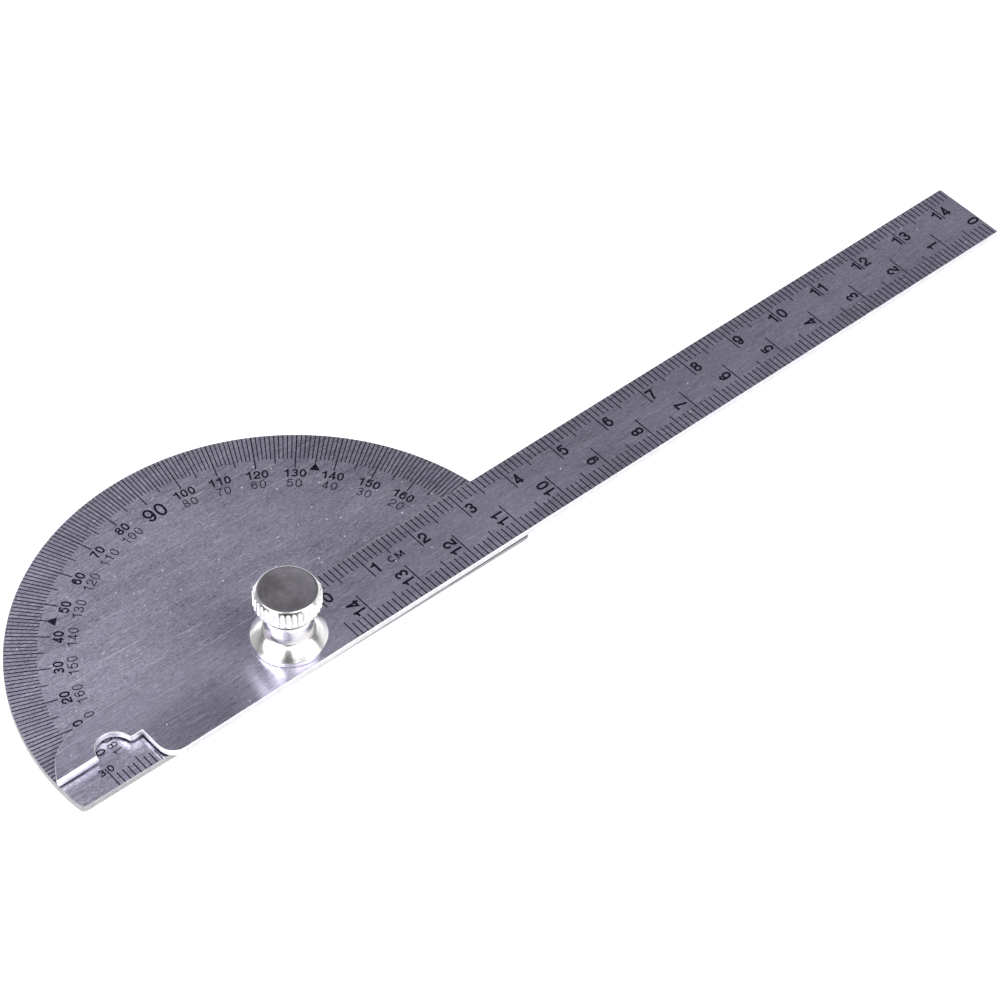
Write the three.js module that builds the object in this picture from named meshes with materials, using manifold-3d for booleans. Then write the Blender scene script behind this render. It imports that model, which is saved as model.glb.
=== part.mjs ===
// Semicircular protractor with a swinging steel rule.
// A D-shaped dial plate carries a shoulder screw, flush with its back. The rule arm swings on the
// shoulder, a thin friction washer keeps the two plates apart, and a conical flanged washer and a
// knurled thumb nut clamp the stack.
// Millimetres, +Z up. The origin is on the pivot axis, in the plane of the dial's back face.
// +X runs along the dial's base edge towards the rule's tip, +Y towards the top of the arc.

import * as THREE from 'three';
import { mergeVertices } from 'three/addons/utils/BufferGeometryUtils.js';
import Module from 'manifold-3d';

const wasm = await Module();
wasm.setup();

// ---- driving dimensions ------------------------------------------------------------------------

// dial plate
const DIAL_R = 44.76;           // radius of the graduated arc
const DIAL_X = 0.325;           // centre of the arc, from the pivot axis
const DIAL_Y = 0.645;
const BASE_Y = -5.97;           // straight base edge
const DIAL_T = 1.2;             // thickness
const DIAL_CORNER = 1.0;        // radius of the two lower corners
const DIAL_HOLE_R = 2.53;       // hole for the screw's shoulder
const EDGE_BREAK = 0.1;         // broken edges of both plates

// running gap between neighbouring pieces of the stack
const GAP = 0.04;

// friction washer between the plates
const FRICTION_T = 0.35;
const FRICTION_R = 6.0;
const FRICTION_HOLE_R = 2.6;

// rule arm, in its own frame: u along the arm, v across it, pivot at 0,0
const ARM_T = 1.15;
const ARM_UPPER_W = 7.2;        // from the pivot's line to the upper and to the lower edge
const ARM_LOWER_W = 6.98;
const ARM_TIP_U = 153.27;
const ARM_HOLE_R = 2.6;
const ARM_TURN_DEG = 0.82;      // the rule leans a little towards the arc at rest
const TAIL_OUTLINE = [          // rounded tail, from the upper edge round to the index edge
  [-30.4, 7.2], [-33.2, 7.15], [-35.1, 7.02], [-36.6, 6.84], [-38.0, 6.5], [-39.5, 5.97], [-40.9, 5.2],
  [-42.1, 4.2], [-43.05, 3.03], [-44.0, 1.49], [-44.42, 0.74], [-44.7, 0.0],
];
const INDEX_V = 0.0;            // the index edge lies on a line through the pivot axis
const INDEX_CHAMFER = 0.45;
const ARCH_U = -34.05;          // reading window over the degree figures
const ARCH_R = 3.0;
const ARCH_FILLET = 0.7;
const NOTCH_U = -28.7;          // side wall of the cut-away half
const NOTCH_FILLET = 3.0;

// shoulder screw
const HEAD_R = 4.2;
const HEAD_H = 0.95;
const SHOULDER_R = 2.5;
const THREAD_MAJOR_R = 2.0;
const THREAD_MINOR_R = 1.68;
const THREAD_PITCH = 0.7;
const SCREW_TOP_Z = 12.3;

// flanged washer under the nut
const FLANGE_R = 6.18;
const FLANGE_RIM = 1.1;
const FLANGE_TOP_Z = 5.56;
const FLANGE_SEAT_R = 4.2;
const FLANGE_HOLE_R = 2.2;

// thumb nut
const NECK_R = 4.07;
const NECK_STEP_1_Z = 8.6;
const NECK_STEP_1_R = 4.3;
const NECK_STEP_2_Z = 9.9;
const NECK_STEP_2_R = 4.42;
const HEAD_UNDER_Z = 11.05;
const KNURL_R = 5.48;
const KNURL_ROOT_R = 5.12;
const KNURL_BOTTOM_Z = 11.45;
const KNURL_TOP_Z = 13.88;
const CROWN_R = 4.83;
const CROWN_Z = 14.43;
const KNURL_TEETH = 36;
const KNURL_FIRST_DEG = 229.0;   // one crest points this way at rest, 10 degrees between crests
const NUT_BORE_R = 2.12;
const NUT_BORE_TOP_Z = 13.0;

// ---- derived heights ---------------------------------------------------------------------------

const FRICTION_Z = DIAL_T + GAP;
const ARM_Z = FRICTION_Z + FRICTION_T + GAP;
const ARM_TOP_Z = ARM_Z + ARM_T;
const FLANGE_Z = ARM_TOP_Z + GAP;
const NUT_Z = FLANGE_TOP_Z + GAP;

// ---- helpers -----------------------------------------------------------------------------------

// Joins and cuts need shared corners, so only positions are kept.
function toSolid(geometry) {
  const bare = geometry.clone();
  for (const name of Object.keys(bare.attributes)) {
    if (name !== 'position') bare.deleteAttribute(name);
  }
  const merged = mergeVertices(bare, 1e-4);
  return new wasm.Manifold(new wasm.Mesh({
    numProp: 3,
    vertProperties: new Float32Array(merged.attributes.position.array),
    triVerts: new Uint32Array(merged.index.array),
  }));
}

function toGeometry(solid) {
  const mesh = solid.getMesh();
  const geometry = new THREE.BufferGeometry();
  geometry.setAttribute('position', new THREE.BufferAttribute(new Float32Array(mesh.vertProperties), 3));
  geometry.setIndex(new THREE.BufferAttribute(new Uint32Array(mesh.triVerts), 1));
  geometry.computeVertexNormals();
  return geometry;
}

// A profile of [radius, height] pairs turned about Z. It starts and ends on the axis or closes.
function turned(profile, segments) {
  const points = profile.map(([r, z]) => new THREE.Vector2(r, z));
  const lathe = new THREE.LatheGeometry(points, segments);
  lathe.rotateX(Math.PI / 2);
  return lathe;
}

// A flat plate with its edges broken by a small chamfer, standing on z = 0.
function plate(shape, thickness, edge, curveSegments) {
  const geometry = new THREE.ExtrudeGeometry(shape, {
    depth: thickness - 2 * edge,
    bevelEnabled: true,
    bevelThickness: edge,
    bevelSize: edge,
    bevelOffset: -edge,
    bevelSegments: 1,
    curveSegments,
  });
  geometry.translate(0, 0, edge);
  return geometry;
}

function finish(color, roughness, metalness) {
  return new THREE.MeshStandardMaterial({ color, roughness, metalness });
}

function named(name, geometry, material) {
  const mesh = new THREE.Mesh(geometry, material);
  mesh.name = name;
  return mesh;
}

// ---- dial plate --------------------------------------------------------------------------------

function dialPlate() {
  // The arc ends where it meets the base edge, and both corners are rounded by a small fillet
  // tangent to the arc and to the edge.
  const r = DIAL_CORNER;
  const cy = BASE_Y + r;
  const cx = Math.sqrt((DIAL_R - r) ** 2 - (cy - DIAL_Y) ** 2);
  const meet = Math.atan2(cy - DIAL_Y, cx);
  const shape = new THREE.Shape();
  const steps = 200;
  for (let i = 0; i <= steps; i += 1) {
    const a = meet + (Math.PI - 2 * meet) * (i / steps);
    const x = DIAL_X + DIAL_R * Math.cos(a);
    const y = DIAL_Y + DIAL_R * Math.sin(a);
    if (i === 0) shape.moveTo(x, y); else shape.lineTo(x, y);
  }
  for (let i = 1; i <= 6; i += 1) {
    const a = Math.PI - meet + (Math.PI / 2 + meet) * (i / 6);
    shape.lineTo(DIAL_X - cx + r * Math.cos(a), cy + r * Math.sin(a));
  }
  for (let i = 0; i < 6; i += 1) {
    const a = -Math.PI / 2 + (Math.PI / 2 + meet) * (i / 6);
    shape.lineTo(DIAL_X + cx + r * Math.cos(a), cy + r * Math.sin(a));
  }
  shape.closePath();
  const blank = toSolid(plate(shape, DIAL_T, EDGE_BREAK, 1));
  const bore = toSolid(turned([
    [0, -1], [DIAL_HOLE_R, -1], [DIAL_HOLE_R, DIAL_T + 1], [0, DIAL_T + 1],
  ], 64));
  // countersink for the screw's flush head
  const sink = toSolid(turned([
    [0, -1], [HEAD_R + 0.03, -1], [HEAD_R + 0.03, 0.12],
    [DIAL_HOLE_R, HEAD_H + 0.05], [0, HEAD_H + 0.05],
  ], 64));
  return toGeometry(blank.subtract(bore.add(sink)));
}

// ---- rule arm ----------------------------------------------------------------------------------

function ruleArm() {
  const w = ARM_LOWER_W;
  const top = ARM_UPPER_W;
  const shape = new THREE.Shape();
  const tip = 0.25;             // the tip's two corners are barely rounded
  // lower edge, from the notch to the tip
  shape.moveTo(NOTCH_U + NOTCH_FILLET, -w);
  shape.lineTo(ARM_TIP_U - tip, -w);
  shape.lineTo(ARM_TIP_U, -w + tip);
  shape.lineTo(ARM_TIP_U, top - tip);
  shape.lineTo(ARM_TIP_U - tip, top);
  // upper edge, then the rounded tail down to the index edge
  const tail = new THREE.SplineCurve(TAIL_OUTLINE.map(([u, v]) => new THREE.Vector2(u, v)));
  for (const point of tail.getSpacedPoints(30)) shape.lineTo(point.x, point.y);
  // index edge up to the reading window
  shape.lineTo(ARCH_U - ARCH_R, INDEX_V);
  // half-round window over the figures, blended into the short ledge on its right
  const f = ARCH_FILLET;
  const fu = Math.sqrt((ARCH_R + f) ** 2 - f ** 2);
  const touch = Math.asin(f / (ARCH_R + f));
  const arch = 30;
  for (let i = 1; i <= arch; i += 1) {
    const a = Math.PI - (Math.PI - touch) * (i / arch);
    shape.lineTo(ARCH_U + ARCH_R * Math.cos(a), INDEX_V + ARCH_R * Math.sin(a));
  }
  for (let i = 1; i <= 6; i += 1) {
    const a = Math.PI + touch + (Math.PI / 2 - touch) * (i / 6);
    shape.lineTo(ARCH_U + fu + f * Math.cos(a), INDEX_V + f + f * Math.sin(a));
  }
  shape.lineTo(NOTCH_U, INDEX_V);
  // side wall of the cut-away half, and its fillet into the lower edge
  for (let i = 0; i <= 10; i += 1) {
    const a = Math.PI + (Math.PI / 2) * (i / 10);
    const u = NOTCH_U + NOTCH_FILLET + NOTCH_FILLET * Math.cos(a);
    const v = -w + NOTCH_FILLET + NOTCH_FILLET * Math.sin(a);
    if (i < 10) shape.lineTo(u, v);
  }
  shape.closePath();
  const hole = new THREE.Path();
  hole.absarc(0, 0, ARM_HOLE_R, 0, Math.PI * 2, true);
  shape.holes.push(hole);
  const blank = toSolid(plate(shape, ARM_T, 0.06, 24));
  // chamfer along the index edge, from the tail to the window
  const c = INDEX_CHAMFER;
  const wedge = new THREE.Shape();
  wedge.moveTo(-0.2, ARM_T + 0.2);
  wedge.lineTo(-0.2, ARM_T - c - 0.2);
  wedge.lineTo(c + 0.2, ARM_T + 0.2);
  wedge.closePath();
  const tailEnd = TAIL_OUTLINE[TAIL_OUTLINE.length - 1][0];
  const length = (ARCH_U - ARCH_R) - (tailEnd - 1.5);
  const bar = new THREE.ExtrudeGeometry(wedge, { depth: length, bevelEnabled: false });
  // the wedge's own x becomes v, its y becomes z, and its depth runs along u
  bar.applyMatrix4(new THREE.Matrix4().set(
    0, 0, 1, tailEnd - 1.5,
    1, 0, 0, INDEX_V,
    0, 1, 0, 0,
    0, 0, 0, 1,
  ));
  return toGeometry(blank.subtract(toSolid(bar)));
}

// ---- turned pieces -----------------------------------------------------------------------------

function frictionWasher() {
  return turned([
    [FRICTION_HOLE_R, 0], [FRICTION_R - 0.06, 0], [FRICTION_R, 0.06],
    [FRICTION_R, FRICTION_T - 0.06], [FRICTION_R - 0.06, FRICTION_T],
    [FRICTION_HOLE_R, FRICTION_T], [FRICTION_HOLE_R, 0],
  ], 64);
}

function shoulderScrew() {
  const profile = [[0, 0], [HEAD_R, 0], [HEAD_R, 0.1], [SHOULDER_R, HEAD_H], [SHOULDER_R, ARM_TOP_Z - 0.04]];
  let z = ARM_TOP_Z - 0.04;
  profile.push([THREAD_MINOR_R, z]);
  z += 0.3;
  // thread crests as plain rings of the thread's pitch
  while (z + THREAD_PITCH < SCREW_TOP_Z - 0.3) {
    profile.push([THREAD_MINOR_R, z]);
    profile.push([THREAD_MAJOR_R, z + THREAD_PITCH * 0.5]);
    z += THREAD_PITCH;
  }
  profile.push([THREAD_MINOR_R, SCREW_TOP_Z - 0.3], [THREAD_MINOR_R - 0.3, SCREW_TOP_Z], [0, SCREW_TOP_Z]);
  return turned(profile, 24);
}

function flangedWasher() {
  return turned([
    [FLANGE_HOLE_R, FLANGE_Z], [FLANGE_R - 0.1, FLANGE_Z], [FLANGE_R, FLANGE_Z + 0.1],
    [FLANGE_R, FLANGE_Z + FLANGE_RIM - 0.12], [FLANGE_R - 0.12, FLANGE_Z + FLANGE_RIM],
    [5.55, 4.46], [4.95, 5.0], [FLANGE_SEAT_R + 0.1, FLANGE_TOP_Z - 0.04], [FLANGE_SEAT_R, FLANGE_TOP_Z],
    [FLANGE_HOLE_R, FLANGE_TOP_Z], [FLANGE_HOLE_R, FLANGE_Z],
  ], 96);
}

function thumbNut() {
  const body = toSolid(turned([
    [0, NUT_Z], [NECK_R - 0.2, NUT_Z], [NECK_R, NUT_Z + 0.2],
    [NECK_R, NECK_STEP_1_Z], [NECK_STEP_1_R, NECK_STEP_1_Z + 0.1],
    [NECK_STEP_1_R, NECK_STEP_2_Z - 0.28], [NECK_STEP_1_R - 0.18, NECK_STEP_2_Z - 0.05],
    [NECK_STEP_2_R, NECK_STEP_2_Z + 0.15],
    [NECK_STEP_2_R, HEAD_UNDER_Z], [KNURL_ROOT_R - 0.07, HEAD_UNDER_Z],
    [KNURL_R, KNURL_BOTTOM_Z], [KNURL_R, KNURL_TOP_Z - 0.1],
    [CROWN_R + 0.04, CROWN_Z - 0.08], [CROWN_R - 0.06, CROWN_Z], [0, CROWN_Z],
  ], 100));
  // straight knurl: round-bottomed flutes all round the head, cut parallel to the axis, that
  // leave narrow crests between them
  const ring = new THREE.Shape();
  const step = (Math.PI * 2) / KNURL_TEETH;
  const first = THREE.MathUtils.degToRad(KNURL_FIRST_DEG);
  const top = KNURL_R + 0.03;
  for (let i = 0; i < KNURL_TEETH; i += 1) {
    for (let j = 0; j < 6; j += 1) {
      const t = j / 6;
      const r = KNURL_ROOT_R + (top - KNURL_ROOT_R) * (2 * t - 1) ** 2;
      const a = first + step * (i + t);
      if (i + j === 0) ring.moveTo(r * Math.cos(a), r * Math.sin(a)); else ring.lineTo(r * Math.cos(a), r * Math.sin(a));
    }
  }
  ring.closePath();
  const star = new THREE.ExtrudeGeometry(ring, { depth: CROWN_Z - NUT_Z + 2, bevelEnabled: false });
  star.translate(0, 0, NUT_Z - 1);
  const bore = toSolid(turned([
    [0, NUT_Z - 1], [NUT_BORE_R, NUT_Z - 1], [NUT_BORE_R, NUT_BORE_TOP_Z - 1.1], [0, NUT_BORE_TOP_Z],
  ], 40));
  return toGeometry(body.intersect(toSolid(star)).subtract(bore));
}

// ---- assembly ----------------------------------------------------------------------------------

const brushedSteel = finish(0x8a8790, 0.34, 1.0);
const rimSteel = finish(0x8f8c95, 0.32, 1.0);
const nickel = finish(0xd4d0cd, 0.16, 1.0);
const brightNickel = finish(0xdad6d3, 0.14, 1.0);
const springSteel = finish(0x77757a, 0.4, 1.0);
const zincSteel = finish(0xa5a3a6, 0.3, 1.0);

const tool = new THREE.Group();

tool.add(named('dial_plate', dialPlate(), brushedSteel));
tool.add(named('shoulder_screw', shoulderScrew(), zincSteel));

const friction = named('friction_washer', frictionWasher(), springSteel);
friction.position.set(0, 0, FRICTION_Z);
tool.add(friction);

const armPose = new THREE.Group();
armPose.position.set(0, 0, ARM_Z);
armPose.rotation.z = THREE.MathUtils.degToRad(ARM_TURN_DEG);
armPose.add(named('rule_arm', ruleArm(), rimSteel));
tool.add(armPose);

tool.add(named('flanged_washer', flangedWasher(), nickel));
tool.add(named('thumb_nut', thumbNut(), brightNickel));

export default tool;
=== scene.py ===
import math

import bpy
import numpy as np
from mathutils import Matrix, Vector
from mathutils.geometry import delaunay_2d_cdt, tessellate_polygon


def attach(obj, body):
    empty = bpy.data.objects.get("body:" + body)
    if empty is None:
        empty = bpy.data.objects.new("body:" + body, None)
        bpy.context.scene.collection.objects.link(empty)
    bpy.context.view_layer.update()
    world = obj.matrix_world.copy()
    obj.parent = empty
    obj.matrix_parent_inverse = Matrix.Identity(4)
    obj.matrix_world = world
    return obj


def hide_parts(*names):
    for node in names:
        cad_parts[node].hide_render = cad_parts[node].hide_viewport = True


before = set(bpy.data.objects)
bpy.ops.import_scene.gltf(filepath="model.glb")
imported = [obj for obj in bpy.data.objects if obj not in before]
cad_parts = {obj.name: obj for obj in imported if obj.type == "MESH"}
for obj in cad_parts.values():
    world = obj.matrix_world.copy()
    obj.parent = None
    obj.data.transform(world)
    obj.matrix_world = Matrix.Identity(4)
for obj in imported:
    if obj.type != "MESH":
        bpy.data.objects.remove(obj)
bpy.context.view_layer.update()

MM = 0.001
TAU = math.tau

# ---- sizes, in millimetres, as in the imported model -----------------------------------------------
SCALE_X, SCALE_Y = 0.16, 1.14        # centre of the degree scale, from the pivot axis
DIAL_X, DIAL_Y = 0.325, 0.645        # centre of the plate's arc, from the pivot axis
DIAL_R, DIAL_T = 44.76, 1.2
BASE_Y = -5.97
ARM_Z, ARM_T = 1.63, 1.15
ARM_TOP = ARM_Z + ARM_T
ARM_DEG = 0.82
ARM_UP, ARM_LOW = 7.2, 6.98
ARM_TIP = 153.27
FLANGE_Z = 2.82
SEAT_Z = 5.56
NUT_Z = 5.60

# ---- small helpers -------------------------------------------------------------------------------


def shown(name, verts, faces, body, materials, smooth=False, indices=None, replaces=()):
    """A piece from points in millimetres; it rides on a body and may stand for CAD nodes."""
    mesh = bpy.data.meshes.new(name)
    mesh.from_pydata([(x * MM, y * MM, z * MM) for x, y, z in verts], [], faces)
    mesh.validate()
    for m in materials:
        mesh.materials.append(m)
    if indices is not None:
        mesh.polygons.foreach_set("material_index", indices)
    if smooth:
        mesh.shade_smooth()
    mesh.update()
    obj = bpy.data.objects.new(name, mesh)
    bpy.context.scene.collection.objects.link(obj)
    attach(obj, body)
    if replaces:
        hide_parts(*replaces)
    return obj


def crisp(obj, angle=32.0, flat_caps=True):
    """Smooth shading with sharp edges, and flat faces kept flat right up to their rim."""
    mesh = obj.data
    mesh.shade_smooth()
    normals = [p.normal.copy() for p in mesh.polygons]
    faces_of = {}
    for p in mesh.polygons:
        for key in p.edge_keys:
            faces_of.setdefault(key, []).append(p.index)
    limit = math.cos(math.radians(angle))
    for e in mesh.edges:
        pair = faces_of.get(tuple(sorted(e.vertices)), [])
        if len(pair) != 2:
            continue
        a, b = normals[pair[0]], normals[pair[1]]
        caps = [abs(n.z) > 0.99999 for n in (a, b)]
        e.use_edge_sharp = a.dot(b) < limit or (flat_caps and caps[0] != caps[1])


def inset(loop, d):
    """The loop moved d to its left, with mitred corners."""
    out = []
    n = len(loop)
    for i in range(n):
        (ax, ay), (bx, by), (cx, cy) = loop[i - 1], loop[i], loop[(i + 1) % n]
        l1, l2 = math.hypot(bx - ax, by - ay), math.hypot(cx - bx, cy - by)
        n1 = (-(by - ay) / l1, (bx - ax) / l1)
        n2 = (-(cy - by) / l2, (cx - bx) / l2)
        k = 1 + n1[0] * n2[0] + n1[1] * n2[1]
        k = max(k, 0.3)
        out.append((bx + d * (n1[0] + n2[0]) / k, by + d * (n1[1] + n2[1]) / k))
    return out


def plate(outline, holes, z0, z1, edge, steps=4):
    """Points and faces of a flat plate with rounded edges. The outline runs anticlockwise and the
    holes clockwise, so that inset() always goes into the metal."""
    verts, faces, walls = [], [], []
    rows = []
    for j in range(steps + 1):
        a = math.pi / 2 * j / steps
        rows.append((edge * (1 - math.sin(a)), z0 + edge * (1 - math.cos(a))))
    rows += [(d, z0 + z1 - z) for d, z in reversed(rows)]
    tops, bottoms = [], []
    for loop in [outline, *holes]:
        n = len(loop)
        starts = []
        for d, z in rows:
            starts.append(len(verts))
            verts += [(x, y, z) for x, y in inset(loop, d)]
        for j in range(len(rows) - 1):
            s, t = starts[j], starts[j + 1]
            for i in range(n):
                k = (i + 1) % n
                faces.append((s + i, s + k, t + k, t + i))
                walls.append(1)
        tops.append((starts[-1], n))
        bottoms.append((starts[0], n))
    for group, up in ((tops, True), (bottoms, False)):
        ids = [s + i for s, n in group for i in range(n)]
        loops = [[Vector((verts[s + i][0], verts[s + i][1], 0)) for i in range(n)] for s, n in group]
        for tri in tessellate_polygon(loops):
            t = [ids[i] for i in tri]
            (ax, ay, _), (bx, by, _), (cx, cy, _) = (verts[i] for i in t)
            area = (bx - ax) * (cy - ay) - (cx - ax) * (by - ay)
            if (area > 0) != up:
                t.reverse()
            faces.append(tuple(t))
            walls.append(0)
    return verts, faces, walls


def turned_arm(points):
    """Points from the rule's own frame (u along it, v across) to the model frame."""
    c, s = math.cos(math.radians(ARM_DEG)), math.sin(math.radians(ARM_DEG))
    return [(u * c - v * s, u * s + v * c, *rest) for u, v, *rest in points]


def rounded(profile, radius, steps=4):
    """A profile of (r, z) with its corners rounded; points on the axis stay. A third number in a
    point is its own radius."""
    out = []
    n = len(profile)
    for i, p in enumerate(profile):
        own = p[2] if len(p) > 2 else radius
        p = p[:2]
        if i in (0, n - 1) or own == 0:
            out.append(p)
            continue
        a, b = profile[i - 1][:2], profile[i + 1][:2]
        la, lb = math.dist(a, p), math.dist(b, p)
        ua = ((a[0] - p[0]) / la, (a[1] - p[1]) / la)
        ub = ((b[0] - p[0]) / lb, (b[1] - p[1]) / lb)
        cos = max(-1.0, min(1.0, ua[0] * ub[0] + ua[1] * ub[1]))
        half = math.acos(cos) / 2
        if half > math.radians(88):
            out.append(p)
            continue
        cut = min(own / math.tan(half), 0.45 * la, 0.45 * lb)
        for j in range(steps + 1):
            t = j / steps
            q0 = (p[0] + ua[0] * cut, p[1] + ua[1] * cut)
            q1 = (p[0] + ub[0] * cut, p[1] + ub[1] * cut)
            out.append(tuple((1 - t) ** 2 * q0[k] + 2 * t * (1 - t) * p[k] + t * t * q1[k] for k in (0, 1)))
    return out


def lathe(profile, segments):
    """A closed turned solid. The profile starts and ends on the axis, or closes on itself."""
    verts, faces = [], []
    on_axis = profile[0][0] < 1e-9
    rows = []
    for r, z in profile if on_axis else profile[:-1]:
        if r < 1e-9:
            rows.append([len(verts)] * segments)
            verts.append((0.0, 0.0, z))
        else:
            rows.append(list(range(len(verts), len(verts) + segments)))
            for i in range(segments):
                a = TAU * i / segments
                verts.append((r * math.cos(a), r * math.sin(a), z))
    pairs = list(zip(rows, rows[1:]))
    if not on_axis:
        pairs.append((rows[-1], rows[0]))
    for a, b in pairs:
        for i in range(segments):
            k = (i + 1) % segments
            f = [a[i], a[k], b[k], b[i]]
            f = [v for j, v in enumerate(f) if v != f[j - 1]]
            if len(f) > 2:
                faces.append(tuple(f))
    return verts, faces


# ---- materials -----------------------------------------------------------------------------------


def nd(nt, kind, ins=None, **props):
    node = nt.nodes.new(kind)
    for k, v in props.items():
        setattr(node, k, v)
    for k, v in (ins or {}).items():
        socket = node.inputs[k]
        if isinstance(v, bpy.types.NodeSocket):
            nt.links.new(v, socket)
        else:
            socket.default_value = v
    return node


def math_(nt, op, a, b=None, c=None, clamp=False):
    node = nt.nodes.new("ShaderNodeMath")
    node.operation = op
    node.use_clamp = clamp
    for i, v in enumerate((a, b, c)):
        if v is None:
            continue
        if isinstance(v, bpy.types.NodeSocket):
            nt.links.new(v, node.inputs[i])
        else:
            node.inputs[i].default_value = v
    return node.outputs[0]


def fit(nt, value, lo, hi, out_lo, out_hi, smooth=False):
    node = nd(nt, "ShaderNodeMapRange", {0: value, 1: lo, 2: hi, 3: out_lo, 4: out_hi},
              interpolation_type="SMOOTHSTEP" if smooth else "LINEAR", clamp=True)
    return node.outputs[0]


def blend_color(nt, factor, a, b):
    node = nd(nt, "ShaderNodeMix", data_type="RGBA")
    for i, v in ((0, factor), (6, a), (7, b)):
        if isinstance(v, bpy.types.NodeSocket):
            nt.links.new(v, node.inputs[i])
        else:
            node.inputs[i].default_value = v
    return node.outputs[2]


def noise(nt, coords, scale, detail=2.0, rough=0.5, distort=0.0):
    """Noise on the coordinates multiplied by scale, a number or three numbers, per metre."""
    if not isinstance(scale, (tuple, list)):
        scale = (scale, scale, scale)
    scaled = nd(nt, "ShaderNodeVectorMath", {0: coords, 1: scale}, operation="MULTIPLY").outputs[0]
    return nd(nt, "ShaderNodeTexNoise", {"Vector": scaled, "Scale": 1.0, "Detail": detail,
                                         "Roughness": rough, "Distortion": distort}).outputs[0]


def specks(nt, coords, spacing, size, share, flat=False):
    """Sparse round specks: 1 inside a speck, 0 outside. spacing and size in metres."""
    scaled = nd(nt, "ShaderNodeVectorMath", {0: coords, 1: (1 / spacing,) * 3}, operation="MULTIPLY").outputs[0]
    cell = nd(nt, "ShaderNodeTexVoronoi", {"Vector": scaled, "Scale": 1.0, "Randomness": 1.0},
              voronoi_dimensions="2D" if flat else "3D")
    near = fit(nt, cell.outputs["Distance"], size / spacing * 0.35, size / spacing * 0.6, 1.0, 0.0, True)
    chosen = nd(nt, "ShaderNodeSeparateColor", {0: cell.outputs["Color"]}).outputs[0]
    return math_(nt, "MULTIPLY", near, math_(nt, "GREATER_THAN", chosen, 1.0 - share))


def begin(name):
    m = bpy.data.materials.new(name)
    m.use_nodes = True
    nt = m.node_tree
    nt.nodes.clear()
    out = nt.nodes.new("ShaderNodeOutputMaterial")
    bsdf = nt.nodes.new("ShaderNodeBsdfPrincipled")
    nt.links.new(bsdf.outputs[0], out.inputs[0])
    coords = nt.nodes.new("ShaderNodeTexCoord").outputs["Object"]
    return m, nt, bsdf, coords


def along_frame(nt, coords, degrees):
    """Object coordinates with x along a direction that is turned by degrees about Z."""
    return nd(nt, "ShaderNodeVectorRotate", {"Vector": coords, "Angle": -math.radians(degrees)},
              rotation_type="Z_AXIS").outputs[0]


def rgba(r, g, b):
    return (r, g, b, 1.0)


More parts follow.
